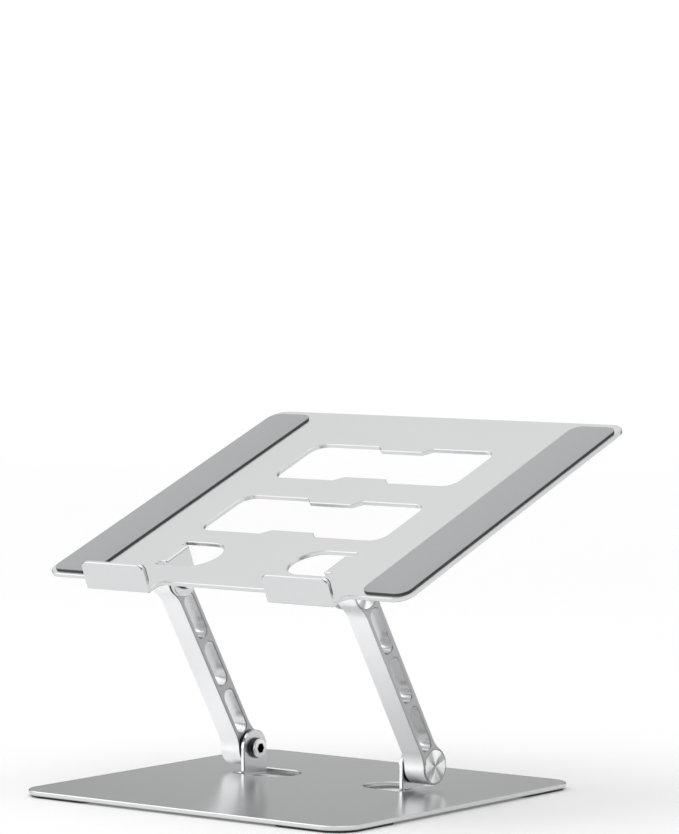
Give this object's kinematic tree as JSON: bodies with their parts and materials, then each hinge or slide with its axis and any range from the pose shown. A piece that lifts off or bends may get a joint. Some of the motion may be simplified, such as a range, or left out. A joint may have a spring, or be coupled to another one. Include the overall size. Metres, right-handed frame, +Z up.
{
  "type": "laptop stand",
  "caption": "Folding laptop stand: bent sheet-metal base and tray joined by slotted arms on bolted friction hinges, with rubber pads, front hooks and round end caps.",
  "frame": {"origin": "on the desk, under the middle of the stand's bounding box as it is set up for use", "axes": "+X across the stand to its right as seen from the front, +Y to the rear, +Z up"},
  "size_m": [0.252, 0.2448, 0.2011],
  "materials": {
    "satin_aluminium": "fine bead-blasted and anodised, satin",
    "brushed_cap": "radially brushed, bright",
    "grey_rubber": "soft matte silicone, light grey",
    "black_rubber": "matte black silicone",
    "bright_steel": "nickel-plated, smooth",
    "black_steel": "black oxide",
    "nylon": "plain black nylon"
  },
  "bodies": {
    "base": {"base_plate": "satin_aluminium", "foot_front_left": "black_rubber", "foot_front_right": "black_rubber", "foot_rear_left": "black_rubber", "foot_rear_right": "black_rubber", "lower_left_friction_disc": "nylon", "lower_right_friction_disc": "nylon"},
    "arms": {"left_arm": "satin_aluminium", "right_arm": "satin_aluminium", "lower_left_bolt": "bright_steel", "lower_left_spring_washer": "black_steel", "lower_left_head_washer": "black_steel", "lower_left_nut_washer": "bright_steel", "lower_left_lock_nut": "bright_steel", "lower_left_end_cap": "brushed_cap", "lower_right_bolt": "bright_steel", "lower_right_spring_washer": "black_steel", "lower_right_head_washer": "black_steel", "lower_right_nut_washer": "bright_steel", "lower_right_lock_nut": "bright_steel", "lower_right_end_cap": "brushed_cap", "upper_left_end_cap": "brushed_cap", "upper_right_end_cap": "brushed_cap"},
    "pins": {"upper_left_bolt": "bright_steel", "upper_left_spring_washer": "black_steel", "upper_left_head_washer": "black_steel", "upper_left_friction_disc": "nylon", "upper_left_nut_washer": "bright_steel", "upper_left_lock_nut": "bright_steel", "upper_right_bolt": "bright_steel", "upper_right_spring_washer": "black_steel", "upper_right_head_washer": "black_steel", "upper_right_friction_disc": "nylon", "upper_right_nut_washer": "bright_steel", "upper_right_lock_nut": "bright_steel"},
    "tray": {"tray_plate": "satin_aluminium", "tray_pad_left": "grey_rubber", "tray_pad_right": "grey_rubber", "hook_pad_left": "black_rubber", "hook_pad_right": "black_rubber"}
  },
  "joints": [
    {"name": "arm_swing", "type": "hinge", "parent": "base", "child": "arms", "pos_m": [0, 0.0133, 0.017], "axis": [1, 0, 0], "range_deg": [-35, 58.7]},
    {"name": "pivot_turn", "type": "hinge", "parent": "arms", "child": "pins", "pos_m": [0, -0.04801, 0.11783], "axis": [1, 0, 0], "range_deg": [-58.7, 35]},
    {"name": "tray_tilt", "type": "hinge", "parent": "pins", "child": "tray", "pos_m": [0, -0.04801, 0.11783], "axis": [1, 0, 0], "range_deg": [-21.4, 8.6]}
  ],
  "couplings": [
    {"joint": "pivot_turn", "follows": "arm_swing", "ratio": -1}
  ]
}
